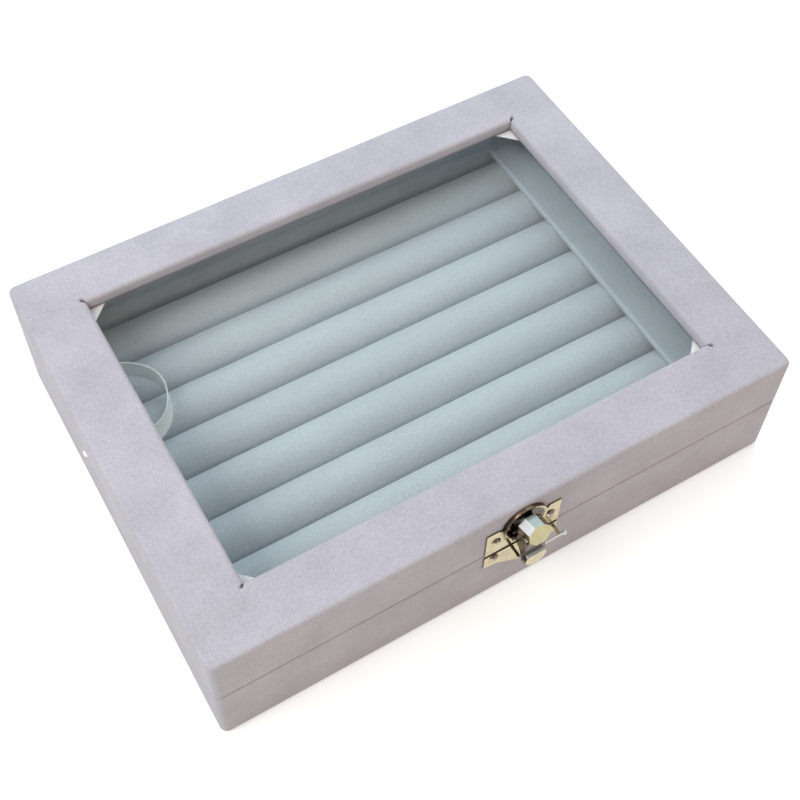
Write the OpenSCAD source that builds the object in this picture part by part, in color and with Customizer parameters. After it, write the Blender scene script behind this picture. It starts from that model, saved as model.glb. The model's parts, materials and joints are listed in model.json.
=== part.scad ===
// Ring display box: a shallow velvet-covered case with a hinged, glazed lid.
// Eight velvet ring rolls lie side by side in the base, with a flat padded strip over their ends on each side.
// Millimetres, +Z up. The origin is the centre of the flat bottom, and the front faces -Y.

/* [Case] */
// outside width of the case, left to right
case_w = 200; // [190:1:260]
// outside depth of the case, front to back
case_d = 148; // [148:1:200]
// height of the base at the joint with the lid
base_h = 27; // [26:0.5:28]
// height of the closed case
case_h = 48; // [47.5:0.5:60]
// thickness of the wall boards
board_t = 5; // [4:0.5:5]
// thickness of the velvet skin and of the inner lining
skin_t = 1; // [0.8:0.1:1]

/* [Window] */
// width of the opening in the lid
window_w = 161; // [120:1:164]
// depth of the opening in the lid
window_d = 111.4; // [80:0.1:116]
// how far the opening sits to the right of the middle
window_x = 0.45; // [0:0.05:1]
// how far the opening sits behind the middle
window_y = 0.65; // [0:0.05:1]
// thickness of the glass
glass_t = 2; // [1.5:0.1:2]
// leg of the white corner triangles that show under the frame
card_leg = 5.5; // [3:0.5:8]

/* [Ring rolls] */
// distance from one roll to the next
roll_pitch = 16.55; // [15:0.05:16.6]
// height of the crest of the rolls
roll_top = 22; // [20:0.5:22]
// width of the flat strip that lies over the ends of the rolls
strip_w = 12.7; // [8:0.1:14]

/* [Latch] */
// width of both latch plates
plate_w = 26; // [26:1:30]
// upward tilt of the end of the knob, in degrees
knob_tilt = 15; // [0:1:30]
// how far the knob stands out from the front
knob_out = 8; // [7:0.1:9]
// height of the middle of the knob's end above the joint of base and lid
knob_rise = 15.4; // [14:0.1:16]

/* [Ribbon] */
// width of the ribbon that holds the lid
ribbon_w = 6; // [4:0.5:6]
// radius of the ribbon's bend
ribbon_bend = 14.5; // [10:0.5:16]

/* [Part] */
// which piece to draw

/* [Hidden] */
$fn = 96;
eps = 0.01;
half_w = case_w / 2;
half_d = case_d / 2;
board_x = half_w - skin_t;
board_y = half_d - skin_t;
inner_x = board_x - board_t;
inner_y = board_y - board_t;
room_x = inner_x - skin_t;
room_y = inner_y - skin_t;
corner_r = 2.4;
edge_r = 1.2;
seam_r = 0.8;
hair_gap = 0.2;
lid_z = base_h + hair_gap;

sheet_t = 0.6;
turn_in = 0.8;
turn_in_w = 14;
bottom_z = sheet_t + turn_in;
bottom_t = 2.5;
insert_z = bottom_z + bottom_t;
insert_t = 1.6;
roll_z = insert_z + insert_t;

frame_board_t = 3.7;
frame_board_z = case_h - skin_t - frame_board_t;
card_t = 0.4;
card_back = 1;
glass_z = frame_board_z - card_t - glass_t;
window_band = 1;

roll_count = 8;
roll_gap = 0.15;
roll_r = (roll_pitch - roll_gap) / 2;
roll_centre_z = roll_top - roll_r;
roll_end_gap = 0.3;
roll_half = room_x - roll_end_gap;
strip_low = roll_top + 0.05;
strip_t = 2.5;
strip_edge_r = 1;

latch_x = 1;
plate_t = 0.5;
plate_y = -half_d - plate_t;
plate_low = base_h + 1;
plate_high = base_h + 13;
notch_r = 0.9;
arch_r = 7.4;
arch_z = base_h + 11.9;
dish_rim_r = 6.9;
dish_floor_r = 5.2;
dish_out = 0.8;
strike_high = base_h - 0.7;
strike_low = base_h - 6.65;
strike_tip = base_h - 13.15;
bar_r = 0.4;
bar_y = plate_y - 3.75;
bar_z = base_h - 2;
bar_left = latch_x - 3.5;
bar_ball_r = 0.8;
post_w = 0.8;
post_right_x = latch_x + plate_w / 2 - 1.8;
bar_right = post_right_x + 2;
pivot_y = plate_y - 1.1;
pivot_z = base_h + 7;
pin_r = 0.4;
pin_fit = 0.05;
hub_r = 0.85;
cheek_gap = 4;
cheek_t = 0.8;
cheek_out = 1.6;
side_gap = 0.2;
knob_root_w = 7.8;
knob_end_w = 7.4;
knob_neck_r = 2.8;
knob_root_y = plate_y - 1.9;
knob_root_z = base_h + 13.6;
knob_end_z = base_h + knob_rise;
tongue_y = plate_y - 5.7;
tongue_t = 0.8;
tongue_r = 4;
tongue_low = base_h - 3.1;
lobe_r = 3.6;
lobe_t = 1.2;
lobe_z = tongue_low + 4.5;
lobe_flat = 2;
web_t = 0.8;
nose_y = bar_y - bar_r - 0.3;
nose_w = 4;
nose_h = 0.7;
nose_z = bar_z - bar_r - 0.3;
latch_nail_x = 9.5;
latch_nail_z = base_h + 7.6;
strike_nail_z = base_h - 2.7;

hinge_x = 60;
hinge_w = 24;
leaf_t = 0.8;
leaf_h = 10;
knuckle_r = 1.6;
knuckle_w = 7.8;
hinge_pin_r = 0.8;
hinge_y = half_d + knuckle_r + 0.2;
hinge_z = base_h + hair_gap / 2;
knuckle_gap = 0.2;
hinge_nail_x = 7.5;
hinge_nail_drop = 6.5;

nail_r = 0.6;
nail_fit = 0.03;
nail_head_r = 1.5;
nail_top_r = 0.8;
nail_rim_h = 0.2;
nail_head_h = 0.7;
nail_length = 4;

ribbon_t = 0.4;
ribbon_y = 27.9;
ribbon_z = strip_low + strip_t + 0.2;
ribbon_leg = 10.1;

velvet = [0.76, 0.75, 0.80];
roll_velvet = [0.66, 0.70, 0.76];
lining_grey = [0.55, 0.56, 0.60];
board_brown = [0.62, 0.52, 0.40];
card_white = [0.93, 0.93, 0.92];
glass_tint = [0.85, 0.90, 0.92, 0.35];
gold = [0.83, 0.66, 0.30];
satin = [0.86, 0.91, 0.96];

// A flat block between two corners, given by half sizes and a height range.
module slab(half_x, half_y, low, high)
    translate([-half_x, -half_y, low]) cube([2 * half_x, 2 * half_y, high - low]);

// The upright section of a rounded edge: a rectangle whose corners are rounded below and above.
module edge_section(width, height, low_r, high_r) {
    translate([0, low_r]) square([width, height - low_r - high_r]);
    translate([low_r, 0]) square([width - 2 * low_r, height / 2]);
    translate([high_r, height / 2]) square([width - 2 * high_r, height / 2]);
    for (x = [low_r, width - low_r]) translate([x, low_r]) circle(low_r);
    for (x = [high_r, width - high_r]) translate([x, height - high_r]) circle(high_r);
}

// A block with round upright corners and softly rounded lower and upper edges.
module soft_block(width, depth, low, high, low_r, high_r) {
    height = high - low;
    translate([0, 0, low]) {
        for (x = [-1, 1], y = [-1, 1])
            translate([x * (width / 2 - corner_r), y * (depth / 2 - corner_r), 0])
                rotate_extrude()
                    intersection() {
                        translate([-corner_r, 0]) edge_section(2 * corner_r, height, low_r, high_r);
                        square([corner_r, height]);
                    }
        translate([-width / 2 + corner_r, 0, 0]) rotate([90, 0, 90])
            linear_extrude(width - 2 * corner_r)
                translate([-depth / 2, 0]) edge_section(depth, height, low_r, high_r);
        translate([0, depth / 2 - corner_r, 0]) rotate([90, 0, 0])
            linear_extrude(depth - 2 * corner_r)
                translate([-width / 2, 0]) edge_section(width, height, low_r, high_r);
    }
}

// A hole or shank that runs along Y, from y_from to y_to, at a point of the front or back face.
module along_y(x, z, radius, y_from, y_to)
    translate([x, y_from, z]) rotate([y_to > y_from ? -90 : 90, 0, 0])
        cylinder(h = abs(y_to - y_from), r = radius, $fn = 32);

// Clearance holes for the nails of the two latch plates, in the front wall.
module latch_nail_holes(z)
    for (side = [-1, 1])
        along_y(latch_x + side * latch_nail_x, z, nail_r + nail_fit, plate_y - eps, plate_y + nail_length + 0.1);

// Clearance holes for the hinge nails, in the back wall. side is -1 below the joint and 1 above it.
module hinge_nail_holes(side)
    for (x = [-hinge_x, hinge_x], dx = [-hinge_nail_x, hinge_nail_x])
        along_y(x + dx, hinge_z + side * hinge_nail_drop, nail_r + nail_fit,
            half_d + leaf_t + eps, half_d + leaf_t - nail_length - 0.1);

// A domed nail. The head stands on the plate at y, and out is -1 at the front and 1 at the back.
module nail(x, z, y, out) {
    along_y(x, z, nail_r, y, y - out * nail_length);
    along_y(x, z, nail_head_r, y, y + out * nail_rim_h);
    translate([x, y + out * nail_rim_h, z]) rotate([out < 0 ? 90 : -90, 0, 0])
        cylinder(h = nail_head_h - nail_rim_h, r1 = nail_head_r, r2 = nail_top_r, $fn = 32);
}

module window_hole(grow, low, high)
    translate([window_x - window_w / 2 - grow, window_y - window_d / 2 - grow, low])
        cube([window_w + 2 * grow, window_d + 2 * grow, high - low]);

module bottom_sheet() color(lining_grey) slab(half_w - 3, half_d - 3, 0, sheet_t);

module base_bottom_board() color(board_brown) slab(board_x, board_y, bottom_z, insert_z);

// Front and back boards run the full width, and the side boards stand between them.
module cross_board(side, low, high, nail_z, hinge_side)
    color(board_brown)
        difference() {
            translate([-board_x, side > 0 ? inner_y : -board_y, low]) cube([2 * board_x, board_t, high - low]);
            if (side < 0) latch_nail_holes(nail_z);
            else hinge_nail_holes(hinge_side);
        }

module end_board(side, low, high)
    color(board_brown)
        translate([side > 0 ? inner_x : -board_x, -inner_y, low]) cube([board_t, 2 * inner_y, high - low]);

module base_front_board() cross_board(-1, insert_z, base_h - skin_t, strike_nail_z, -1);
module base_back_board() cross_board(1, insert_z, base_h - skin_t, strike_nail_z, -1);
module base_left_board() end_board(-1, insert_z, base_h - skin_t);
module base_right_board() end_board(1, insert_z, base_h - skin_t);

// The velvet goes up the outside, over the rim, and a turned-in margin is glued under the bottom.
module base_velvet_wrap()
    color(velvet)
        difference() {
            soft_block(case_w, case_d, sheet_t, base_h, edge_r, seam_r);
            slab(board_x, board_y, bottom_z, base_h - skin_t);
            slab(inner_x, inner_y, base_h - skin_t - eps, base_h + eps);
            slab(half_w - turn_in_w, half_d - turn_in_w, sheet_t - eps, bottom_z + eps);
            latch_nail_holes(strike_nail_z);
            hinge_nail_holes(-1);
        }

module lining_band(low, high)
    color(lining_grey)
        difference() {
            slab(inner_x, inner_y, low, high);
            slab(room_x, room_y, low - eps, high + eps);
        }

module base_lining() lining_band(insert_z, base_h);

module insert_board() color(board_brown) slab(room_x, room_y, insert_z, roll_z);

// A ring roll: foam under velvet, with straight flanks and a half-round top.
module ring_roll(number)
    color(roll_velvet)
        translate([-roll_half, ((roll_count + 1) / 2 - number) * roll_pitch, 0]) {
            translate([0, 0, roll_centre_z]) rotate([0, 90, 0]) cylinder(h = 2 * roll_half, r = roll_r);
            translate([0, -roll_r, roll_z]) cube([2 * roll_half, 2 * roll_r, roll_centre_z - roll_z]);
        }

// A flat padded strip over the ends of the rolls, against the wall, with a soft upper inner edge.
module side_strip(side)
    color(roll_velvet) {
        edge_x = side * (room_x - strip_w + strip_edge_r);
        translate([min(edge_x, side * room_x), -room_y, strip_low])
            cube([strip_w - strip_edge_r, 2 * room_y, strip_t]);
        translate([edge_x, room_y, strip_low + strip_t - strip_edge_r]) rotate([90, 0, 0])
            cylinder(h = 2 * room_y, r = strip_edge_r);
        translate([min(edge_x - side * strip_edge_r, edge_x), -room_y, strip_low])
            cube([strip_edge_r, 2 * room_y, strip_t - strip_edge_r]);
    }

module side_strip_left() side_strip(-1);
module side_strip_right() side_strip(1);

// Flat outline of the upper latch plate, seen from the front: two ears, an arched middle and two small notches.
module latch_outline() {
    difference() {
        translate([latch_x - plate_w / 2, plate_low]) square([plate_w, plate_high - plate_low]);
        for (side = [-1, 1])
            translate([latch_x + side * (arch_r + 0.5), plate_high]) circle(notch_r, $fn = 32);
    }
    translate([latch_x, arch_z]) circle(arch_r);
}

// The pin's axis, as a rod of the given half length and radius.
module pin_rod(half_length, radius)
    translate([latch_x - half_length, pivot_y, pivot_z]) rotate([0, 90, 0])
        cylinder(h = 2 * half_length, r = radius, $fn = 32);

// The upper plate carries a round dish behind the knob, open below for the lever, and two cheeks for its pin.
module latch_plate()
    color(gold)
        difference() {
            union() {
                translate([0, -half_d, 0]) rotate([90, 0, 0]) linear_extrude(plate_t) latch_outline();
                difference() {
                    along_y(latch_x, arch_z, arch_r, plate_y + plate_t / 2, plate_y - dish_out);
                    translate([latch_x, plate_y, arch_z]) rotate([90, 0, 0])
                        cylinder(h = dish_out + eps, r1 = dish_floor_r, r2 = dish_rim_r);
                    translate([latch_x - cheek_gap - cheek_t, plate_y - dish_out - 1, arch_z - arch_r - 1])
                        cube([2 * (cheek_gap + cheek_t), dish_out + 1, arch_r - 2]);
                }
                for (side = [-1, 1])
                    translate([latch_x + side * (cheek_gap + cheek_t / 2) - cheek_t / 2, plate_y - cheek_out,
                        pivot_z - 1])
                        cube([cheek_t, cheek_out + plate_t / 2, 2]);
            }
            pin_rod(plate_w, pin_r + pin_fit);
            latch_nail_holes(latch_nail_z);
        }

module latch_pin() color(gold) pin_rod(cheek_gap + cheek_t + side_gap, pin_r);

module octagon(across_flats, thickness)
    rotate([90, 0, 0]) rotate(22.5)
        cylinder(h = thickness, r = across_flats / 2 / cos(22.5), $fn = 8);

// Front view of the tongue: round at its lower end, drawn in where it meets the knob.
module tongue_outline() {
    translate([0, tongue_low + tongue_r]) circle(tongue_r);
    polygon([[-tongue_r, tongue_low + tongue_r], [tongue_r, tongue_low + tongue_r],
        [tongue_r - 0.5, pivot_z + 1], [2, knob_end_z - 3], [-2, knob_end_z - 3], [-tongue_r + 0.5, pivot_z + 1]]);
}

// Front view of the raised lobe on the tongue: round below, cut off flat above.
module lobe_outline()
    translate([0, lobe_z])
        difference() {
            circle(lobe_r);
            translate([-lobe_r, lobe_flat]) square([2 * lobe_r, lobe_r]);
        }

// Side view of the two webs that join the tongue to the hub and to the foot of the knob.
module web_outline()
    polygon([[pivot_y, pivot_z - 0.8], [pivot_y, pivot_z + 3], [knob_root_y, pivot_z + 4.5],
        [tongue_y - tongue_t + 0.1, pivot_z + 3], [tongue_y - tongue_t + 0.1, tongue_low + tongue_r],
        [tongue_y, tongue_low + tongue_r], [tongue_y + 2, pivot_z - 2.5]]);

// The lever: a faceted knob, a hub on the pin and a tongue that hangs in front of the strike's bar. Pressing the
// knob in swings the tongue out, and the nose behind the tongue comes out from under the bar.
module latch_lever()
    color(gold)
        difference() {
            union() {
                hull() {
                    translate([latch_x, knob_root_y, knob_root_z]) octagon(knob_root_w, 0.5);
                    translate([latch_x, -half_d - knob_out, knob_end_z])
                        rotate([-knob_tilt, 0, 0]) translate([0, 0.8, 0]) octagon(knob_end_w, 0.8);
                }
                along_y(latch_x, knob_root_z, knob_neck_r, pivot_y - 0.05, knob_root_y - 1);
                pin_rod(cheek_gap - side_gap, hub_r);
                translate([latch_x, tongue_y, 0]) rotate([90, 0, 0]) linear_extrude(tongue_t) tongue_outline();
                translate([latch_x, tongue_y - tongue_t + eps, 0])
                    rotate([90, 0, 0]) linear_extrude(lobe_t) lobe_outline();
                for (side = [-1, 1])
                    translate([latch_x + side * (cheek_gap - side_gap - web_t / 2) - web_t / 2, 0, 0])
                        rotate([90, 0, 90]) linear_extrude(web_t) web_outline();
                translate([latch_x - nose_w / 2, tongue_y - tongue_t / 2, nose_z - nose_h])
                    cube([nose_w, nose_y - tongue_y + tongue_t / 2, nose_h]);
            }
            pin_rod(plate_w, pin_r + pin_fit);
        }

module latch_nails()
    color(gold)
        for (side = [-1, 1]) nail(latch_x + side * latch_nail_x, latch_nail_z, plate_y, -1);

// Flat outline of the lower plate: two ears and a shield that runs down to a point.
module strike_outline() {
    translate([latch_x - plate_w / 2, strike_low]) square([plate_w, strike_high - strike_low]);
    polygon([[latch_x - plate_w / 2, strike_low + eps], [latch_x - 8, strike_low - 1], [latch_x, strike_tip],
        [latch_x + 8, strike_low - 1], [latch_x + plate_w / 2, strike_low + eps]]);
}

// The strike: a bar on two posts, which the tongue's nose catches. The bar ends in a small ball on the right.
module strike_plate()
    color(gold) {
        difference() {
            translate([0, -half_d, 0]) rotate([90, 0, 0]) linear_extrude(plate_t) strike_outline();
            latch_nail_holes(strike_nail_z);
        }
        translate([bar_left, bar_y, bar_z]) rotate([0, 90, 0])
            cylinder(h = bar_right - bar_left, r = bar_r, $fn = 48);
        translate([bar_right, bar_y, bar_z]) sphere(bar_ball_r, $fn = 48);
        for (x = [bar_left, post_right_x])
            translate([x, bar_y, bar_z - bar_r]) cube([post_w, plate_y - bar_y + plate_t / 2, 2 * bar_r]);
    }

module strike_nails()
    color(gold)
        for (side = [-1, 1]) nail(latch_x + side * latch_nail_x, strike_nail_z, plate_y, -1);

// One hinge leaf. side is -1 for the base, which has the two outer knuckles, and 1 for the lid's middle one.
module hinge_leaf(x, side)
    color(gold)
        difference() {
            union() {
                translate([x - hinge_w / 2, half_d, side < 0 ? hinge_z - 2 - leaf_h : hinge_z + 2])
                    cube([hinge_w, leaf_t, leaf_h]);
                for (k = side < 0 ? [-1, 1] : [0])
                    translate([x + k * (hinge_w - knuckle_w) / 2 - knuckle_w / 2 + (k == 0 ? knuckle_gap : 0),
                        hinge_y, hinge_z]) {
                        length = knuckle_w - (k == 0 ? 2 * knuckle_gap : 0);
                        rotate([0, 90, 0]) cylinder(h = length, r = knuckle_r, $fn = 48);
                        translate([0, half_d - hinge_y, side < 0 ? -2 - eps : 0]) cube([length, leaf_t, 2 + eps]);
                    }
            }
            translate([x - hinge_w, hinge_y, hinge_z]) rotate([0, 90, 0])
                cylinder(h = 2 * hinge_w, r = hinge_pin_r + pin_fit, $fn = 48);
            hinge_nail_holes(side);
        }

module hinge_pin(x)
    color(gold)
        translate([x - hinge_w / 2 - 0.3, hinge_y, hinge_z]) rotate([0, 90, 0])
            cylinder(h = hinge_w + 0.6, r = hinge_pin_r, $fn = 48);

module hinge_nails(side)
    color(gold)
        for (x = [-hinge_x, hinge_x], dx = [-hinge_nail_x, hinge_nail_x])
            nail(x + dx, hinge_z + side * hinge_nail_drop, half_d + leaf_t, 1);

module hinge_base_leaf_left() hinge_leaf(-hinge_x, -1);
module hinge_base_leaf_right() hinge_leaf(hinge_x, -1);
module hinge_lid_leaf_left() hinge_leaf(-hinge_x, 1);
module hinge_lid_leaf_right() hinge_leaf(hinge_x, 1);
module hinge_pin_left() hinge_pin(-hinge_x);
module hinge_pin_right() hinge_pin(hinge_x);
module hinge_base_nails() hinge_nails(-1);
module hinge_lid_nails() hinge_nails(1);

// The ribbon stands on edge: two short legs at the left wall, joined by a half-round bend.
module ribbon_stay()
    color(satin)
        translate([-room_x, ribbon_y, ribbon_z])
            difference() {
                union() {
                    translate([0, -ribbon_bend - ribbon_t / 2, 0])
                        cube([ribbon_leg, 2 * ribbon_bend + ribbon_t, ribbon_w]);
                    translate([ribbon_leg, 0, 0]) cylinder(h = ribbon_w, r = ribbon_bend + ribbon_t / 2);
                }
                translate([ribbon_leg - 2 * ribbon_bend, -ribbon_bend + ribbon_t / 2, -1])
                    cube([2 * ribbon_bend, 2 * ribbon_bend - ribbon_t, ribbon_w + 2]);
                translate([ribbon_leg, 0, -1]) cylinder(h = ribbon_w + 2, r = ribbon_bend - ribbon_t / 2);
            }

module lid_front_board() cross_board(-1, lid_z + skin_t, frame_board_z, latch_nail_z, 1);
module lid_back_board() cross_board(1, lid_z + skin_t, frame_board_z, latch_nail_z, 1);
module lid_left_board() end_board(-1, lid_z + skin_t, frame_board_z);
module lid_right_board() end_board(1, lid_z + skin_t, frame_board_z);

module lid_frame_board()
    color(board_brown)
        difference() {
            slab(board_x, board_y, frame_board_z, case_h - skin_t);
            window_hole(window_band, frame_board_z - eps, case_h);
        }

// The lid's velvet covers the outside, the rim and the edges of the window.
module lid_velvet_wrap()
    color(velvet) {
        difference() {
            soft_block(case_w, case_d, lid_z, case_h, seam_r, edge_r);
            slab(board_x, board_y, lid_z + skin_t, case_h - skin_t);
            slab(inner_x, inner_y, lid_z - eps, lid_z + skin_t + eps);
            window_hole(0, frame_board_z, case_h + eps);
            latch_nail_holes(latch_nail_z);
            hinge_nail_holes(1);
        }
        difference() {
            window_hole(window_band, frame_board_z, case_h - skin_t + eps);
            window_hole(0, frame_board_z - eps, case_h);
        }
    }

module lid_lining() lining_band(lid_z, glass_z);

module glass_pane() color(glass_tint) slab(inner_x - 0.2, inner_y - 0.2, glass_z, glass_z + glass_t);

// White card between the glass and the frame. Its opening keeps back from the window, except across the corners.
module glass_card()
    color(card_white)
        difference() {
            slab(inner_x - 0.2, inner_y - 0.2, glass_z + glass_t, frame_board_z);
            translate([window_x, window_y, glass_z])
                linear_extrude(glass_t + 1)
                    intersection() {
                        square([window_w + 2 * card_back, window_d + 2 * card_back], center = true);
                        polygon([for (c = [[1, 1], [-1, 1], [-1, -1], [1, -1]], k = [0, 1])
                            let (along_x = (c[0] * c[1] > 0) == (k == 1))
                            [c[0] * (window_w / 2 + (along_x ? -card_leg - card_back : card_back)),
                             c[1] * (window_d / 2 + (along_x ? card_back : -card_leg - card_back))]]);
                    }
        }

bottom_sheet();
base_bottom_board();
base_front_board();
base_back_board();
base_left_board();
base_right_board();
base_velvet_wrap();
base_lining();
insert_board();
ring_roll(1);  // ring_roll_1
ring_roll(2);  // ring_roll_2
ring_roll(3);  // ring_roll_3
ring_roll(4);  // ring_roll_4
ring_roll(5);  // ring_roll_5
ring_roll(6);  // ring_roll_6
ring_roll(7);  // ring_roll_7
ring_roll(8);  // ring_roll_8
side_strip_left();
side_strip_right();
strike_plate();
strike_nails();
hinge_base_leaf_left();
hinge_base_leaf_right();
hinge_pin_left();
hinge_pin_right();
hinge_base_nails();
ribbon_stay();
lid_frame_board();
lid_front_board();
lid_back_board();
lid_left_board();
lid_right_board();
lid_velvet_wrap();
lid_lining();
glass_pane();
glass_card();
latch_plate();
latch_nails();
latch_pin();
hinge_lid_leaf_left();
hinge_lid_leaf_right();
hinge_lid_nails();
latch_lever();
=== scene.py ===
import json
import math

import bpy
from mathutils import Matrix, Vector, noise


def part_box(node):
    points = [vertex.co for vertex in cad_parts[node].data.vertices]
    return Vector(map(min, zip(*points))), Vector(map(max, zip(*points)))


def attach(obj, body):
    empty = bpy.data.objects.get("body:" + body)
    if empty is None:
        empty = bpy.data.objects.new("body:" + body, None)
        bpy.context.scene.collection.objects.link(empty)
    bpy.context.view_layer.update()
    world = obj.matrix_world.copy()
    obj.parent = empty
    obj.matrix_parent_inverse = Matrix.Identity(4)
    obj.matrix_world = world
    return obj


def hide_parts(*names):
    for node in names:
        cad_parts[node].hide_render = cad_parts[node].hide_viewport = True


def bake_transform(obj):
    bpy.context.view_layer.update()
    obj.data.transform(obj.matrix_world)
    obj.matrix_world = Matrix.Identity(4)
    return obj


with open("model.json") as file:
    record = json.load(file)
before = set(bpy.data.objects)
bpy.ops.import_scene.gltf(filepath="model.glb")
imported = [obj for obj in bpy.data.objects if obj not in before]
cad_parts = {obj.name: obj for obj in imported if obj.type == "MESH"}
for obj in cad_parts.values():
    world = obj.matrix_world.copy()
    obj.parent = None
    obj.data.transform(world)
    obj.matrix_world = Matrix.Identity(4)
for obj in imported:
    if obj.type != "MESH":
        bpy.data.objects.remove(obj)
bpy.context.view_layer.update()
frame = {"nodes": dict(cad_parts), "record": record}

MM = 0.001

# Camera, solved from the edges of the box in the photograph.
PHOTO_SIDE = 800
FOCAL_PIXELS = 1346.2
OPTICAL_AXIS_ABOVE_CENTRE = 80
CAMERA_PLACE = Vector((-0.1284, -0.2133, 0.3899))
CAMERA_AZIMUTH = -31.50
CAMERA_ELEVATION = 53.75
CAMERA_ROLL = 1.35
SENSOR_WIDTH = 36

# Sizes of the covering, in metres.
CORNER_RADIUS = 2.4 * MM
SMALLEST_CORNER = 0.2 * MM
EDGE_RADIUS = 1.4 * MM
SEAM_RADIUS = 0.9 * MM
WINDOW_EDGE_RADIUS = 1.5 * MM
SMALLEST_WINDOW_CORNER = 0.15 * MM
RIM_WIDTH = 6.0 * MM
RIM_ROUND = 0.3 * MM
LID_RIM_TOP = 0.8 * MM
LID_RIM_KNEE = 0.2 * MM
BASE_RIM_DEPTH = 0.9 * MM
TURN_IN = 14.0 * MM
TURN_IN_TOP = 0.7 * MM
TURN_IN_KNEE = 0.1 * MM
EDGE_SUPPORT = 1 * MM
UNDER_FRAME_WIDTH = 0.6 * MM
UNDER_FRAME_LOWER = 0.05 * MM
UNDER_FRAME_UPPER = 0.02 * MM
SLIT_DEPTH = 2.9 * MM
SLIT_SHOULDER_SHARE = 0.5
SHALLOW_SLIT_SHARE = 0.35
FRONT_LEFT_CORNER = 3

# How unevenly the glued cloth lies: heights in metres, and the scale of the noise per metre.
COVER_RIPPLE = 0.12 * MM
COVER_SINK = 0.06 * MM
COVER_RIPPLE_SCALE = 45.0

# Steps of the coverings' meshes.
SIDE_STEPS = 40
CORNER_STEPS = 6
ROUND_STEPS = 5
WALL_STEPS = 6
FRAME_STEPS = 8
FRAME_LAST_SHARE = 0.96
RIM_LOOPS = 4
WINDOW_EDGE_STEPS = 4

# Places taken from the solids.
base_low, base_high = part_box("base_velvet_wrap")
lid_low, lid_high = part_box("lid_velvet_wrap")
frame_low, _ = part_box("lid_frame_board")
lever_low, lever_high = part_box("latch_lever")
plate_low, plate_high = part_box("latch_plate")

# Limits between the parts of the catch that get painted highlights, reflections and shade of their own.
KNOB_HEIGHT = 8.6 * MM
LOBE_LIMIT = 1.2 * MM
DISH_RADIUS = 7.4 * MM
DISH_MARGIN = 0.1 * MM
DISH_RIM_LIMIT = 1.2 * MM
BAR_LIMIT = 3 * MM
knob_foot = lever_high[2] - KNOB_HEIGHT
lobe_limit_y = lever_low[1] + LOBE_LIMIT
rim_limit_y = lid_low[1] - DISH_RIM_LIMIT
bar_limit_y = lid_low[1] - BAR_LIMIT
dish_x = (plate_low[0] + plate_high[0]) / 2
dish_z = plate_high[2] - DISH_RADIUS

WHITE = (1.0, 1.0, 1.0)
RECESS_SAMPLES = 8


def node_vertices(name):
    return [v.co.copy() for v in frame["nodes"][name].data.vertices]


def window_rectangle():
    """Left, right, front and back of the opening in the lid's velvet, read from the solid."""
    top_margin = 0.1 * MM
    outline_margin = 3 * MM
    inside = [
        v for v in node_vertices("lid_velvet_wrap")
        if v.z > lid_high[2] - top_margin
        and abs(v.x) < base_high[0] - outline_margin
        and abs(v.y) < base_high[1] - outline_margin
    ]
    xs = [v.x for v in inside]
    ys = [v.y for v in inside]
    return min(xs), max(xs), min(ys), max(ys)


def make_mesh(name, points, faces, material, body, replaced=()):
    """A smooth-shaded mesh piece that rides on a body and stands for the named solids."""
    mesh = bpy.data.meshes.new(name)
    mesh.from_pydata([tuple(p) for p in points], [], faces)
    mesh.validate()
    mesh.polygons.foreach_set("use_smooth", [True] * len(mesh.polygons))
    flat_ends = {mesh.edges[mesh.loops[loop].edge_index].index
                 for face in mesh.polygons if len(face.vertices) > 4 for loop in face.loop_indices}
    for index in flat_ends:
        mesh.edges[index].use_edge_sharp = True
    mesh.materials.append(material)
    piece = bpy.data.objects.new(name, mesh)
    bpy.context.collection.objects.link(piece)
    if body:
        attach(piece, body)
    if replaced:
        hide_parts(*replaced)
    return piece


def rectangle_loop(left, right, front, back, radius, z, side_steps, corner_steps):
    """Points round a rectangle with round corners, anticlockwise from the front left corner."""
    points = []
    corners = [(right, front, -90), (right, back, 0), (left, back, 90), (left, front, 180)]
    starts = [(left + radius, front), (right, front + radius), (right - radius, back), (left, back - radius)]
    ends = [(right - radius, front), (right, back - radius), (left + radius, back), (left, front + radius)]
    signs = [(1, -1), (1, 1), (-1, 1), (-1, -1)]
    for side in range(4):
        x0, y0 = starts[side]
        x1, y1 = ends[side]
        for step in range(side_steps):
            t = step / side_steps
            points.append(Vector((x0 + (x1 - x0) * t, y0 + (y1 - y0) * t, z)))
        cx, cy, angle = corners[side]
        centre_x = cx - signs[side][0] * radius
        centre_y = cy - signs[side][1] * radius
        for step in range(corner_steps):
            turn = math.radians(angle + 90 * step / corner_steps)
            x = centre_x + radius * math.cos(turn)
            y = centre_y + radius * math.sin(turn)
            points.append(Vector((x, y, z)))
    return points


def loft(loops, closed_ends=False):
    """Quads between successive loops of equal length."""
    points = [p for loop in loops for p in loop]
    count = len(loops[0])
    faces = []
    for level in range(len(loops) - 1):
        for i in range(count):
            j = (i + 1) % count
            a = level * count
            b = a + count
            faces.append((a + i, a + j, b + j, b + i))
    if closed_ends:
        faces.append(tuple(reversed(range(count))))
        faces.append(tuple(range((len(loops) - 1) * count, len(loops) * count)))
    return points, faces


def mix(a, b, t):
    return a + (b - a) * t


def grey(level):
    return (level, level, level)


# Materials.
def node_material(name):
    material = bpy.data.materials.new(name)
    material.use_nodes = True
    nodes = material.node_tree.nodes
    shader = nodes["Principled BSDF"]
    return material, nodes, material.node_tree.links, shader


def noise_node(nodes, links, vector, scale, detail=4.0, roughness=0.6):
    texture = nodes.new("ShaderNodeTexNoise")
    texture.inputs["Scale"].default_value = scale
    texture.inputs["Detail"].default_value = detail
    texture.inputs["Roughness"].default_value = roughness
    links.new(vector, texture.inputs["Vector"])
    return texture


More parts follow.
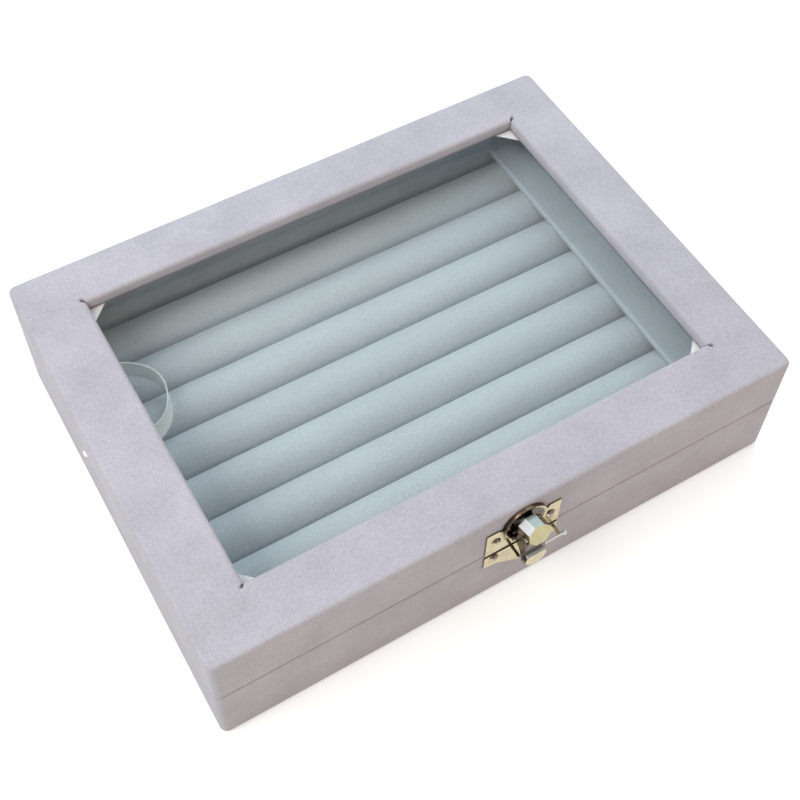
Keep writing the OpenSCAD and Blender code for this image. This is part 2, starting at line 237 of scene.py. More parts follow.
def ramp_node(nodes, links, value, low, high, low_colour, high_colour):
    ramp = nodes.new("ShaderNodeValToRGB")
    ramp.color_ramp.elements[0].position = low
    ramp.color_ramp.elements[1].position = high
    ramp.color_ramp.elements[0].color = (*low_colour, 1)
    ramp.color_ramp.elements[1].color = (*high_colour, 1)
    links.new(value, ramp.inputs["Fac"])
    return ramp


def multiply_node(nodes, links, a, b, factor=1.0):
    blend = nodes.new("ShaderNodeMix")
    blend.data_type = "RGBA"
    blend.blend_type = "MULTIPLY"
    blend.inputs["Factor"].default_value = factor
    links.new(a, blend.inputs[6])
    links.new(b, blend.inputs[7])
    return blend.outputs[2]


def bump_node(nodes, links, height, strength, distance, base_normal=None):
    """Relief from a texture, on top of another relief where one is given."""
    bump = nodes.new("ShaderNodeBump")
    bump.inputs["Strength"].default_value = strength
    bump.inputs["Distance"].default_value = distance
    links.new(height, bump.inputs["Height"])
    if base_normal:
        links.new(base_normal, bump.inputs["Normal"])
    return bump.outputs[0]


def recess_tone(nodes, links, reach, low, high, dark):
    """Painted shade: white in the open and darker deep in seams and corners."""
    recess = nodes.new("ShaderNodeAmbientOcclusion")
    recess.inputs["Distance"].default_value = reach
    recess.samples = RECESS_SAMPLES
    return ramp_node(nodes, links, recess.outputs["AO"], low, high, dark, WHITE).outputs[0]


def maximum_node(nodes, links, a, b):
    largest = nodes.new("ShaderNodeMath")
    largest.operation = "MAXIMUM"
    links.new(a, largest.inputs[0])
    links.new(b, largest.inputs[1])
    return largest.outputs[0]


def velvet_material(name, colour, nap_scale=2200.0, contrast=0.10, stretch=(1.0, 1.0, 1.0), sheen=0.25,
                    recess_depth=0.0):
    """Short velvet: brushed patches, single tufts, a soft bloom at grazing angles and, where recess_depth is
    given, painted shade in seams and corners.
    """
    material, nodes, links, shader = node_material(name)
    place = nodes.new("ShaderNodeTexCoord").outputs["Object"]
    stretched = nodes.new("ShaderNodeMapping")
    stretched.inputs["Scale"].default_value = stretch
    links.new(place, stretched.inputs["Vector"])
    patches = noise_node(nodes, links, stretched.outputs[0], 55.0, 5.0, 0.62)
    tufts = noise_node(nodes, links, place, nap_scale, 3.0, 0.7)
    dark = tuple(c * (1 - contrast) for c in colour)
    light = tuple(min(1.0, c * (1 + contrast * 0.6)) for c in colour)
    patch_colour = ramp_node(nodes, links, patches.outputs["Fac"], 0.30, 0.70, dark, light)
    tuft_shade = ramp_node(nodes, links, tufts.outputs["Fac"], 0.30, 0.72, grey(0.80), grey(1.08))
    shaded = multiply_node(nodes, links, patch_colour.outputs[0], tuft_shade.outputs[0])
    if recess_depth:
        # Painted shade: the colour darkens deep in seams and corners, where shade falls.
        seam_shade = recess_tone(nodes, links, recess_depth, 0.30, 0.80, (0.42, 0.36, 0.37))
        shaded = multiply_node(nodes, links, shaded, seam_shade)
    links.new(shaded, shader.inputs["Base Color"])
    nap = bump_node(nodes, links, tufts.outputs["Fac"], 0.55, 0.15 * MM)
    folds = bump_node(nodes, links, patches.outputs["Fac"], 0.35, 0.5 * MM, nap)
    links.new(folds, shader.inputs["Normal"])
    shader.inputs["Roughness"].default_value = 0.95
    shader.inputs["Specular IOR Level"].default_value = 0.15
    shader.inputs["Sheen Weight"].default_value = sheen
    shader.inputs["Sheen Roughness"].default_value = 0.45
    shader.inputs["Sheen Tint"].default_value = (0.92, 0.94, 1.0, 1)
    return material


def metal_material(name, colour, darker_tone, painted_dark_rim=0.0, metallic=1.0):
    """Polished plating with hairlines, worn patches, painted shade in recesses and, if asked, painted dark
    reflection on faces seen at a slant.
    """
    material, nodes, links, shader = node_material(name)
    place = nodes.new("ShaderNodeTexCoord").outputs["Object"]
    wear = noise_node(nodes, links, place, 320.0, 5.0, 0.6)
    hair = nodes.new("ShaderNodeMapping")
    hair.inputs["Scale"].default_value = (300.0, 4500.0, 4500.0)
    links.new(place, hair.inputs["Vector"])
    lines = noise_node(nodes, links, hair.outputs[0], 1.0, 2.0, 0.5)
    tone = ramp_node(nodes, links, wear.outputs["Fac"], 0.35, 0.72, colour, darker_tone)
    # Painted shade: the plating darkens deep in recesses.
    recess_shade = recess_tone(nodes, links, 3.5 * MM, 0.25, 0.85, (0.10, 0.085, 0.07))
    shaded = multiply_node(nodes, links, tone.outputs[0], recess_shade)
    # Painted reflection: faces seen at a slant darken, standing in for a darker room mirrored in them.
    if painted_dark_rim:
        facing = nodes.new("ShaderNodeLayerWeight")
        facing.inputs["Blend"].default_value = 0.5
        edge = ramp_node(nodes, links, facing.outputs["Facing"], 0.50, 0.80, WHITE, (0.12, 0.10, 0.09))
        shaded = multiply_node(nodes, links, shaded, edge.outputs[0], painted_dark_rim)
    links.new(shaded, shader.inputs["Base Color"])
    rough = nodes.new("ShaderNodeMapRange")
    rough.inputs["From Min"].default_value = 0.3
    rough.inputs["From Max"].default_value = 0.75
    rough.inputs["To Min"].default_value = 0.08
    rough.inputs["To Max"].default_value = 0.30
    links.new(wear.outputs["Fac"], rough.inputs["Value"])
    links.new(rough.outputs[0], shader.inputs["Roughness"])
    scratches = bump_node(nodes, links, lines.outputs["Fac"], 0.12, 0.05 * MM)
    links.new(scratches, shader.inputs["Normal"])
    shader.inputs["Metallic"].default_value = metallic
    return material


def paper_material(name, colour, scale=900.0, roughness=0.85):
    """Card or board: fine fibres over a faint cloudiness."""
    material, nodes, links, shader = node_material(name)
    place = nodes.new("ShaderNodeTexCoord").outputs["Object"]
    fibres = noise_node(nodes, links, place, scale, 6.0, 0.7)
    dark = tuple(c * 0.86 for c in colour)
    tone = ramp_node(nodes, links, fibres.outputs["Fac"], 0.32, 0.66, dark, colour)
    links.new(tone.outputs[0], shader.inputs["Base Color"])
    relief = bump_node(nodes, links, fibres.outputs["Fac"], 0.3, 0.08 * MM)
    links.new(relief, shader.inputs["Normal"])
    shader.inputs["Roughness"].default_value = roughness
    return material


def satin_material(name, colour, edge_colour, opacity=1.0):
    """Satin ribbon: fine threads along its length and a soft shine."""
    material, nodes, links, shader = node_material(name)
    place = nodes.new("ShaderNodeTexCoord").outputs["Object"]
    threads = nodes.new("ShaderNodeTexWave")
    threads.bands_direction = "Z"
    threads.inputs["Scale"].default_value = 1100.0
    threads.inputs["Distortion"].default_value = 0.6
    threads.inputs["Detail"].default_value = 1.0
    links.new(place, threads.inputs["Vector"])
    tone = ramp_node(nodes, links, threads.outputs["Fac"], 0.1, 0.9, colour, edge_colour)
    links.new(tone.outputs[0], shader.inputs["Base Color"])
    relief = bump_node(nodes, links, threads.outputs["Fac"], 0.25, 0.05 * MM)
    links.new(relief, shader.inputs["Normal"])
    shader.inputs["Roughness"].default_value = 0.38
    shader.inputs["Sheen Weight"].default_value = 0.6
    shader.inputs["Subsurface Weight"].default_value = 0.5
    shader.inputs["Subsurface Radius"].default_value = grey(0.002)
    shader.inputs["Alpha"].default_value = opacity
    return material


def glass_material(name):
    """Clear flat glass: what is behind shows through, with the room mirrored on its surface."""
    material = bpy.data.materials.new(name)
    material.use_nodes = True
    nodes = material.node_tree.nodes
    links = material.node_tree.links
    nodes.remove(nodes["Principled BSDF"])
    clear = nodes.new("ShaderNodeBsdfTransparent")
    clear.inputs["Color"].default_value = (0.965, 0.995, 0.985, 1)
    gloss = nodes.new("ShaderNodeBsdfGlossy")
    gloss.inputs["Roughness"].default_value = 0.03
    slant = nodes.new("ShaderNodeLayerWeight")
    slant.inputs["Blend"].default_value = 0.5
    share = ramp_node(nodes, links, slant.outputs["Facing"], 0.35, 1.0, grey(0.03), grey(0.5))
    middle = share.color_ramp.elements.new(0.7)
    middle.color = (*grey(0.10), 1)
    blend = nodes.new("ShaderNodeMixShader")
    links.new(share.outputs[0], blend.inputs[0])
    links.new(clear.outputs[0], blend.inputs[1])
    links.new(gloss.outputs[0], blend.inputs[2])
    links.new(blend.outputs[0], nodes["Material Output"].inputs["Surface"])
    return material


OUTER_VELVET = velvet_material("outer_velvet", (0.50, 0.485, 0.545), recess_depth=2.2 * MM)
ROLL_VELVET = velvet_material("roll_velvet", (0.57, 0.585, 0.645), contrast=0.06, stretch=(0.4, 1.0, 1.0))
STRIP_VELVET = velvet_material("strip_velvet", (0.54, 0.57, 0.65), contrast=0.05)
LINING = velvet_material("flock_lining", (0.46, 0.49, 0.54), nap_scale=3000.0, sheen=0.1)
BOARD = paper_material("fibre_board", (0.16, 0.12, 0.09), 600.0)
CARD = paper_material("white_card", (0.80, 0.80, 0.79))
GOLD = metal_material("gold_plating", (0.63, 0.55, 0.35), (0.48, 0.41, 0.25))
# Painted copies of the one gold plating, given to faces by where they point: a shaded gold, painted
# highlights, a pale plating with a painted dark rim, painted dark reflection and shade, and a painted cool
# reflection.
SHADED_GOLD = metal_material("plating_painted_shade", (0.47, 0.42, 0.25), (0.40, 0.35, 0.20))
HIGHLIGHT_FACET = metal_material("painted_highlight_facets", (0.93, 0.94, 0.97), (0.72, 0.78, 0.80), metallic=0.35)
PALE_NAIL_PLATING = metal_material("plating_painted_pale", (0.78, 0.74, 0.62), (0.60, 0.53, 0.38), painted_dark_rim=1.0)
PAINTED_DARK_PLATING = metal_material("shadowed_plating", (0.24, 0.17, 0.13), (0.08, 0.057, 0.047), painted_dark_rim=0.5)
COOL_REFLECTION_FACET = metal_material("painted_cool_reflection", (0.46, 0.55, 0.55), (0.34, 0.41, 0.40), metallic=0.5)
SATIN = satin_material("pale_satin", (0.93, 0.98, 1.0), (1.0, 1.0, 1.0), opacity=0.75)
SELVEDGE = satin_material("woven_edge", (0.93, 0.95, 0.97), (0.98, 0.99, 1.0))
GLASS = glass_material("clear_glass")

SLOT_MATERIALS = {
    "velvet": OUTER_VELVET,
    "roll_velvet": ROLL_VELVET,
    "lining": LINING,
    "board": BOARD,
    "card": CARD,
    "glass": GLASS,
    "gold_metal": GOLD,
    "satin": SATIN,
}


def paint_solids():
    """Every carried-over solid gets the material of its slot."""
    for part in frame["record"]["subparts"]:
        mesh = frame["nodes"][part["node"]].data
        mesh.materials.clear()
        mesh.materials.append(SLOT_MATERIALS[part["material_slot"]])
    # The catch and the nails get painted highlights, reflections and shade, face by face.
    paint_faces("latch_lever", (PAINTED_DARK_PLATING, SHADED_GOLD, HIGHLIGHT_FACET, COOL_REFLECTION_FACET, GOLD), lever_tone)
    paint_faces("latch_plate", (GOLD, PAINTED_DARK_PLATING), dish_tone)
    paint_faces("strike_plate", (GOLD, HIGHLIGHT_FACET), bar_tone)
    for name in ("latch_nails", "strike_nails"):
        paint_faces(name, (PALE_NAIL_PLATING, PAINTED_DARK_PLATING, GOLD), nail_tone)


def paint_faces(name, materials, tone):
    """Different materials on the faces of one solid, for painted highlights, reflections and shade: tone
    gives the number of each face's material.
    """
    mesh = frame["nodes"][name].data
    mesh.materials.clear()
    for material in materials:
        mesh.materials.append(material)
    for face in mesh.polygons:
        face.material_index = tone(face)


# Limits for how far a face's normal goes along an axis.
SQUARE_ON = 0.9
UPPER_FACET = 0.5
NAIL_TOP = 0.3
NAIL_FOOT = -0.25


def lever_tone(face):
    """Painted highlights, reflections and shade by where a face points: painted highlights on the facets
    above, a painted cool reflection on the knob's top, a darker painted end, a gold lobe, and painted dark
    reflection and shade on the flanks and neck.
    """
    dark, darker_tone, bright, sky, gold = range(5)
    if face.normal.y < -SQUARE_ON:
        if face.center.z > knob_foot:
            return darker_tone
        return gold if face.center.y < lobe_limit_y else dark
    if face.normal.z > SQUARE_ON:
        return sky if face.center.z > knob_foot else bright
    return bright if face.normal.z > UPPER_FACET and face.normal.x < 0 else dark


def dish_tone(face):
    """The dish and its flank get painted dark reflection and shade, and the rim and the plate stay gold."""
    across = math.hypot(face.center.x - dish_x, face.center.z - dish_z)
    on_rim = face.normal.y < -SQUARE_ON and face.center.y < rim_limit_y
    return int(across < DISH_RADIUS + DISH_MARGIN and not on_rim)


def bar_tone(face):
    """The bar stands in front of the strike plate and gets a painted highlight."""
    return int(face.center.y < bar_limit_y)


def nail_tone(face):
    """Painted reflection on a dome: painted dark where it faces up, for the dark of the room above, gold
    where it faces down, for the pale floor below, and pale plating between.
    """
    polished, dark, gold = range(3)
    if face.normal.z > NAIL_TOP:
        return dark
    return gold if face.normal.z < NAIL_FOOT else polished


def soften_edges(width, *names, edge_material=-1):
    """Small rounded edges on stamped or machined pieces."""
    for name in names:
        solid = frame["nodes"][name]
        bevel = solid.modifiers.new("edge", "BEVEL")
        bevel.width = width
        bevel.segments = 2
        bevel.material = edge_material
        bevel.limit_method = "ANGLE"
        bevel.angle_limit = math.radians(35)
        bevel.harden_normals = False


# Coverings.
def cloth_ripple(point, amount):
    """A slow unevenness of glued cloth."""
    return amount * noise.noise(point * COVER_RIPPLE_SCALE)


def inset_loop(low, high, inset, corner, z):
    """The outline of a box seen from above, drawn in by an inset, with a corner radius."""
    return rectangle_loop(
        low[0] + inset, high[0] - inset, low[1] + inset, high[1] - inset,
        corner, z, SIDE_STEPS, CORNER_STEPS,
    )


def outer_loop(inset, z):
    """The ring box's own outline, drawn in by an inset."""
    return inset_loop(base_low, base_high, inset, max(SMALLEST_CORNER, CORNER_RADIUS - inset), z)


def window_loop(rectangle, outset, z):
    """The window's outline, widened by an outset."""
    left, right, front, back = rectangle
    return rectangle_loop(
        left - outset, right + outset, front - outset, back + outset,
        max(SMALLEST_WINDOW_CORNER, outset), z, SIDE_STEPS, CORNER_STEPS,
    )


def rounded_edge(inset_from, z_from, inset_to, z_to, outward_first):
    """Insets and heights round a quarter turn between two ends."""
    steps = []
    for step in range(1, ROUND_STEPS):
        turn = math.radians(90 * step / ROUND_STEPS)
        if outward_first:
            a, b = math.sin(turn), 1 - math.cos(turn)
        else:
            a, b = 1 - math.cos(turn), math.sin(turn)
        steps.append((mix(inset_from, inset_to, a), mix(z_from, z_to, b)))
    return steps


def wall_rise(low, high):
    """Steps straight up a wall."""
    return [(0, mix(low, high, t / WALL_STEPS)) for t in range(WALL_STEPS + 1)]


def lid_section():
    """Insets and heights of the lid's velvet, from inside the rim, round it and up the wall to the top."""
    low, high = lid_low[2], lid_high[2]
    section = [(RIM_WIDTH, low + LID_RIM_TOP), (RIM_WIDTH, low + LID_RIM_KNEE), (RIM_WIDTH - RIM_ROUND, low)]
    section += [(SEAM_RADIUS, low)]
    section += rounded_edge(SEAM_RADIUS, low, 0, low + SEAM_RADIUS, True)
    section += wall_rise(low + SEAM_RADIUS, high - EDGE_RADIUS)
    section += rounded_edge(0, high - EDGE_RADIUS, EDGE_RADIUS, high, False)
    section += [(EDGE_RADIUS, high)]
    return section


def corner_middle(corner):
    """The number of the point in the middle of a loop's corner."""
    return corner * (SIDE_STEPS + CORNER_STEPS) + SIDE_STEPS + CORNER_STEPS // 2


def press_slits(loops):
    """The open mitre of the velvet at each corner of the window."""
    for loop in loops:
        for corner in range(4):
            middle = corner_middle(corner)
            depth = SLIT_DEPTH * (SHALLOW_SLIT_SHARE if corner == FRONT_LEFT_CORNER else 1)
            loop[middle].z -= depth
            for beside in (middle - 1, middle + 1):
                loop[beside].z -= SLIT_SHOULDER_SHARE * depth


def lid_covering():
    """The lid's velvet: rim, wall, top, the rounded edge of the window and the turn under the frame."""
    rectangle = window_rectangle()
    high = lid_high[2]
    loops = [outer_loop(inset, z) for inset, z in lid_section()]
    top_start = loops[-1]
    top_end = window_loop(rectangle, WINDOW_EDGE_RADIUS, high)
    for share in [step / FRAME_STEPS for step in range(1, FRAME_STEPS)] + [FRAME_LAST_SHARE]:
        loops.append([mix(a, b, share) for a, b in zip(top_start, top_end)])
    first_slit_loop = len(loops)
    loops.append(top_end)
    for step in range(1, WINDOW_EDGE_STEPS + 1):
        turn = math.radians(90 * step / WINDOW_EDGE_STEPS)
        outset = WINDOW_EDGE_RADIUS * (1 - math.sin(turn))
        loops.append(window_loop(rectangle, outset, high - WINDOW_EDGE_RADIUS * (1 - math.cos(turn))))
    last_slit_loop = len(loops) - 1
    loops.append(window_loop(rectangle, 0, mix(high - WINDOW_EDGE_RADIUS, frame_low[2], 0.5)))
    loops.append(window_loop(rectangle, 0, frame_low[2] + UNDER_FRAME_LOWER))
    loops.append(window_loop(rectangle, UNDER_FRAME_WIDTH, frame_low[2] + UNDER_FRAME_UPPER))
    press_slits(loops[first_slit_loop:last_slit_loop + 1])
    for loop in loops[RIM_LOOPS:last_slit_loop + 1]:
        for p in loop:
            p += Vector((0, 0, cloth_ripple(p, COVER_RIPPLE) - COVER_SINK))
    points, faces = loft(loops)
    piece = make_mesh("lid_velvet", points, faces, OUTER_VELVET, "lid", ["lid_velvet_wrap"])
    # The faces down each corner slit take the dark board: partly the board showing in the open mitre, partly
    # painted shade deep in the slit.
    piece.data.materials.append(BOARD)
    around = len(loops[0])
    for corner in range(4):
        for level in range(first_slit_loop, last_slit_loop):
            for side in (-1, 0):
                piece.data.polygons[level * around + corner_middle(corner) + side].material_index = 1
    return piece


def base_covering():
    """The base's velvet: turned in under the bottom, up the wall, over the rim and down inside."""
    low, high = base_low[2], base_high[2]
    section = [(TURN_IN, low + TURN_IN_TOP), (TURN_IN, low + TURN_IN_KNEE), (TURN_IN - RIM_ROUND, low)]
    section += [(EDGE_RADIUS + EDGE_SUPPORT, low), (EDGE_RADIUS, low)]
    section += rounded_edge(EDGE_RADIUS, low, 0, low + EDGE_RADIUS, True)
    section += wall_rise(low + EDGE_RADIUS, high - SEAM_RADIUS)
    section += rounded_edge(0, high - SEAM_RADIUS, SEAM_RADIUS, high, False)
    section += [(SEAM_RADIUS, high), (RIM_WIDTH - RIM_ROUND, high), (RIM_WIDTH, high - RIM_ROUND)]
    section += [(RIM_WIDTH, high - BASE_RIM_DEPTH)]
    loops = [outer_loop(inset, z) for inset, z in section]
    points, faces = loft(loops)
    return make_mesh("base_velvet", points, faces, OUTER_VELVET, "base", ["base_velvet_wrap"])


def lining_band(name, body):
    """A flocked band glued to the inner faces of the walls, a little uneven along its edges."""
    low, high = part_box(name)
    thickness = 1.0 * MM
    round_off = 0.3 * MM
    wall_gap = 0.1 * MM
    corner = 0.6 * MM
    unevenness = 0.1 * MM
    section = [
        (thickness, low[2]), (thickness, mix(low[2], high[2], 0.5)), (thickness, high[2] - round_off),
        (thickness * 0.6, high[2]), (wall_gap, high[2]), (0, high[2] - round_off), (0, low[2]),
    ]
    loops = []
    for inset, z in section:
        loop = inset_loop(low, high, inset, corner, z)
        if inset == thickness:
            for p in loop:
                inward = Vector((-p.x, -p.y, 0)).normalized()
                p += inward * unevenness * noise.noise(p * 60.0)
        loops.append(loop)
    points, faces = loft(loops)
    return make_mesh(f"flocked_{name}", points, faces, LINING, body, [name])


def bottom_paper():
    """The flocked sheet under the box, slightly wavy, with a soft edge."""
    low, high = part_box("bottom_sheet")
    corner = 2.0 * MM
    wave = 0.12 * MM
    inner_steps = 12
    middle = Vector((0, 0, low[2] + 0.05 * MM))
    edge = [(0.4 * MM, high[2]), (0, high[2] - 0.2 * MM), (0, low[2] + 0.25 * MM), (0.25 * MM, low[2])]
    loops = []
    for inset, z in edge:
        loops.append(inset_loop(low, high, inset, corner, z))
    outer = loops[-1]
    for step in range(1, inner_steps):
        ring = [mix(p, middle, step / inner_steps) for p in outer]
        for p in ring:
            p.z = low[2] + wave * abs(noise.noise(p * 30.0))
        loops.append(ring)
    points, faces = loft(loops)
    points.append(middle)
    last = (len(loops) - 1) * len(outer)
    faces += [(last + i, last + (i + 1) % len(outer), len(points) - 1) for i in range(len(outer))]
    return make_mesh("bottom_paper", points, faces, LINING, "base", ["bottom_sheet"])


# Ring rolls and side strips.
ROLL_COUNT = 8
ROLL_LENGTH_STEPS = 60
ROLL_ROUND_STEPS = 24
ROLL_BEND = 0.12 * MM
ROLL_BEND_SCALE = 14.0
ROLL_PRESS = 0.25 * MM
ROLL_PRESS_SCALE = 60.0
ROLL_PRESS_BIAS = 0.45
STRIP_LENGTH_STEPS = 90
STRIP_EDGE_STEPS = 6
STRIP_TOP_STEPS = 8
STRIP_EDGE = 0.9 * MM
STRIP_FOOT = 0.3 * MM
STRIP_PRESS = 0.14 * MM
STRIP_PRESS_SCALE = 70.0
STRIP_PRESS_BIAS = 0.5
STRIP_WAVER = 0.04 * MM
STRIP_WAVER_SCALE = 60.0


def roll_section(half_width, low, high):
    """Outline of a roll: upright flanks and a half-round top."""
    centre_z = high - half_width
    outline = [(-half_width, low), (-half_width, mix(low, centre_z, 0.5))]
    for step in range(ROLL_ROUND_STEPS + 1):
        turn = math.pi * (1 - step / ROLL_ROUND_STEPS)
        outline.append((half_width * math.cos(turn), centre_z + half_width * math.sin(turn)))
    outline += [(half_width, mix(low, centre_z, 0.5)), (half_width, low)]
    return outline


def ring_roll(number):
    """Foam under velvet: nearly straight, its nap pressed here and there, its flat ends under the strips."""
    name = f"ring_roll_{number}"
    low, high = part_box(name)
    centre_y = (low[1] + high[1]) / 2
    half_width = (high[1] - low[1]) / 2
    loops = []
    for step in range(ROLL_LENGTH_STEPS + 1):
        x = mix(low[0], high[0], step / ROLL_LENGTH_STEPS)
        slow_bend = ROLL_BEND * noise.noise(Vector((x * ROLL_BEND_SCALE, number * 3.0, 0)))
        loop = []
        for y, z in roll_section(half_width, low[2], high[2]):
            place = Vector((x, centre_y + y, z))
            lift = (z - low[2]) / (high[2] - low[2])
            pressed = noise.noise(place * ROLL_PRESS_SCALE + Vector((0, number * 7.0, 0)))
            press = ROLL_PRESS * (pressed - ROLL_PRESS_BIAS)
            loop.append(place + Vector((0, slow_bend * lift, press * lift)))
        loops.append(loop)
    points, faces = loft(loops, closed_ends=True)
    piece = make_mesh(f"velvet_roll_{number}", points, faces, ROLL_VELVET, "base", [name])
    return piece


def strip_section(width, height):
    """Distances from the inner edge and heights: up the inner edge, round it and out to the wall."""
    section = [(STRIP_FOOT, 0), (0, STRIP_FOOT), (0, height - STRIP_EDGE)]
    for step in range(1, STRIP_EDGE_STEPS + 1):
        turn = math.radians(90 * step / STRIP_EDGE_STEPS)
        section.append((STRIP_EDGE * (1 - math.cos(turn)), height - STRIP_EDGE * (1 - math.sin(turn))))
    for step in range(1, STRIP_TOP_STEPS + 1):
        section.append((mix(STRIP_EDGE, width, step / STRIP_TOP_STEPS), height))
    section.append((width, 0))
    return section


def side_strip(side_name):
    """A padded board over the ends of the rolls, its velvet turned softly round the inner edge."""
    name = f"side_strip_{side_name}"
    low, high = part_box(name)
    inner_first = side_name == "right"
    height = high[2] - low[2]
    section = strip_section(high[0] - low[0], height)
    loops = []
    for step in range(STRIP_LENGTH_STEPS + 1):
        y = mix(low[1], high[1], step / STRIP_LENGTH_STEPS)
        loop = []
        for u, up in section:
            x = low[0] + u if inner_first else high[0] - u
            place = Vector((x, y, low[2] + up))
            pressed = noise.noise(place * STRIP_PRESS_SCALE) - STRIP_PRESS_BIAS
            place.z += STRIP_PRESS * pressed * up / height
            if u < STRIP_EDGE:
                place.x += STRIP_WAVER * noise.noise(place * STRIP_WAVER_SCALE)
            loop.append(place)
        if not inner_first:
            loop.reverse()
        loops.append(loop)
    points, faces = loft(loops, closed_ends=True)
    piece_name = f"velvet_strip_{side_name}"
    piece = make_mesh(piece_name, points, faces, STRIP_VELVET, "base", [name])
    return piece


# Ribbon.
RIBBON_ACROSS = 8
RIBBON_STEPS = (0, 0.07, 0.2, 0.35, 0.5, 0.65, 0.8, 0.93, 1)
RIBBON_LEG_STEPS = 12
RIBBON_BEND_STEPS = 40
RIBBON_THICKNESS = 0.16 * MM
RIBBON_MARGIN = 0.2 * MM
RIBBON_BOW = 0.3 * MM
RIBBON_WAVER = 0.15 * MM
RIBBON_WAVER_PER_STEP = 0.4
RIBBON_RISE_SPEED = 1.6
RIBBON_RISE_POWER = 0.8
SELVEDGE_THICKENING = 0.08 * MM
FRONT_LEAN = math.radians(52)
BACK_LEAN = math.radians(-10)


def ribbon_route(wall_x, leg, bend, centre_y):
    """Places and outward directions along the ribbon: front leg, bend and back leg."""
    route = []
    for step in range(RIBBON_LEG_STEPS):
        route.append((wall_x + leg * step / RIBBON_LEG_STEPS, centre_y - bend, 0, -1))
    for step in range(RIBBON_BEND_STEPS + 1):
        turn = math.radians(-90 + 180 * step / RIBBON_BEND_STEPS)
        x = wall_x + leg + bend * math.cos(turn)
        route.append((x, centre_y + bend * math.sin(turn), math.cos(turn), math.sin(turn)))
    for step in range(1, RIBBON_LEG_STEPS + 1):
        route.append((wall_x + leg * (1 - step / RIBBON_LEG_STEPS), centre_y + bend, 0, 1))
    return route


def ribbon():
    """A satin ribbon on edge, from the base's wall round a bend to the lid's. Its front leg leans over."""
    low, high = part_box("ribbon_stay")
    bend = (high[1] - low[1]) / 2 - RIBBON_MARGIN
    centre_y = (high[1] + low[1]) / 2
    leg = high[0] - low[0] - bend - RIBBON_MARGIN
    width = high[2] - low[2]
    route = ribbon_route(low[0], leg, bend, centre_y)
    loops = []
    for index, (x, y, nx, ny) in enumerate(route):
        along = index / (len(route) - 1)
        upright = min(1.0, RIBBON_RISE_SPEED * along) ** RIBBON_RISE_POWER
        lean = mix(FRONT_LEAN, BACK_LEAN, upright)
        waver = RIBBON_WAVER * math.sin(index * RIBBON_WAVER_PER_STEP)
        outer_side, inner_side = [], []
        for k in range(RIBBON_ACROSS + 1):
            up = RIBBON_STEPS[k]
            down = width * (1 - up)
            bow = -RIBBON_BOW * (1 - (2 * up - 1) ** 2)
            thickening = SELVEDGE_THICKENING if k in (0, RIBBON_ACROSS) else 0.0
            out = down * math.sin(lean) + bow + waver
            z = high[2] - down * math.cos(lean)
            half = RIBBON_THICKNESS / 2 + thickening
            outer_side.append(Vector((x + nx * (out + half), y + ny * (out + half), z)))
            inner_side.append(Vector((x + nx * (out - half), y + ny * (out - half), z)))
        loops.append(outer_side + list(reversed(inner_side)))
    points, faces = loft(loops, closed_ends=True)
    piece = make_mesh("satin_ribbon", points, faces, SATIN, None)
    piece.data.materials.append(SELVEDGE)
    around = 2 * (RIBBON_ACROSS + 1)
    edge_strips = {0, RIBBON_ACROSS - 1, RIBBON_ACROSS, RIBBON_ACROSS + 1, around - 2, around - 1}
    for face in piece.data.polygons:
        if len(face.vertices) == 4 and face.index % around in edge_strips:
            face.material_index = 1
    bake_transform(piece)
    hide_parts("ribbon_stay")
    return piece


# The cut end of the ribbon. Its section is in widths across and millimetres out.
END_PLACE_Y = 17.6 * MM
END_WIDTH = 3.2 * MM
END_STEPS = 12
END_TURN = 100
END_START = 0.5 * MM
END_REACH = 1.15 * MM
END_LIFT = 0.15 * MM
END_DROP = 0.7 * MM
END_SKEW = 0.6 * MM
END_SECTION = ((-0.5, 0), (-0.2, 0.05), (0.2, 0.05), (0.5, 0), (0.5, -0.2), (-0.5, -0.2))


def ribbon_end():
    """The cut end of the ribbon that comes out of the seam on the left side and turns down over the base."""
    loops = []
    for step in range(END_STEPS + 1):
        t = step / END_STEPS
        turn = math.radians(END_TURN * t)
        x = base_low[0] + END_START - END_REACH * math.sin(turn)
        z = base_high[2] + END_LIFT - END_DROP * (1 - math.cos(turn))
        loop = []
        for across, out in END_SECTION:
            y = END_PLACE_Y + across * END_WIDTH * (1 - 0.5 * t) + END_SKEW * t
            loop.append(Vector((x - out * MM * math.sin(turn), y, z + out * MM * math.cos(turn))))
        loops.append(loop)
    points, faces = loft(loops, closed_ends=True)
    return make_mesh("ribbon_end", points, faces, SELVEDGE, "base")


# Stage, light and camera.
FLOOR_SIZE = 6.0
FLOOR_GLOW = 0.45
WORLD_STRENGTH = 0.48


def make_floor():
    """A pale floor that looks white to the camera and in mirrors, and lights the box as a grey one would."""
    bpy.ops.mesh.primitive_plane_add(size=FLOOR_SIZE, location=(0, 0, 0))
    floor = bpy.context.object
    floor.name = "floor"
    material, nodes, links, shader = node_material("pale_floor")
    shader.inputs["Base Color"].default_value = (0.80, 0.80, 0.80, 1)
    shader.inputs["Roughness"].default_value = 0.9
    shader.inputs["Specular IOR Level"].default_value = 0.0
    path = nodes.new("ShaderNodeLightPath")
    shown = maximum_node(nodes, links, path.outputs["Is Camera Ray"], path.outputs["Is Glossy Ray"])
    seen = maximum_node(nodes, links, shown, path.outputs["Is Transmission Ray"])
    glow = nodes.new("ShaderNodeMath")
    glow.operation = "MULTIPLY"
    glow.inputs[1].default_value = FLOOR_GLOW
    links.new(seen, glow.inputs[0])
    shader.inputs["Emission Color"].default_value = (1, 1, 1, 1)
    links.new(glow.outputs[0], shader.inputs["Emission Strength"])
    floor.data.materials.append(material)


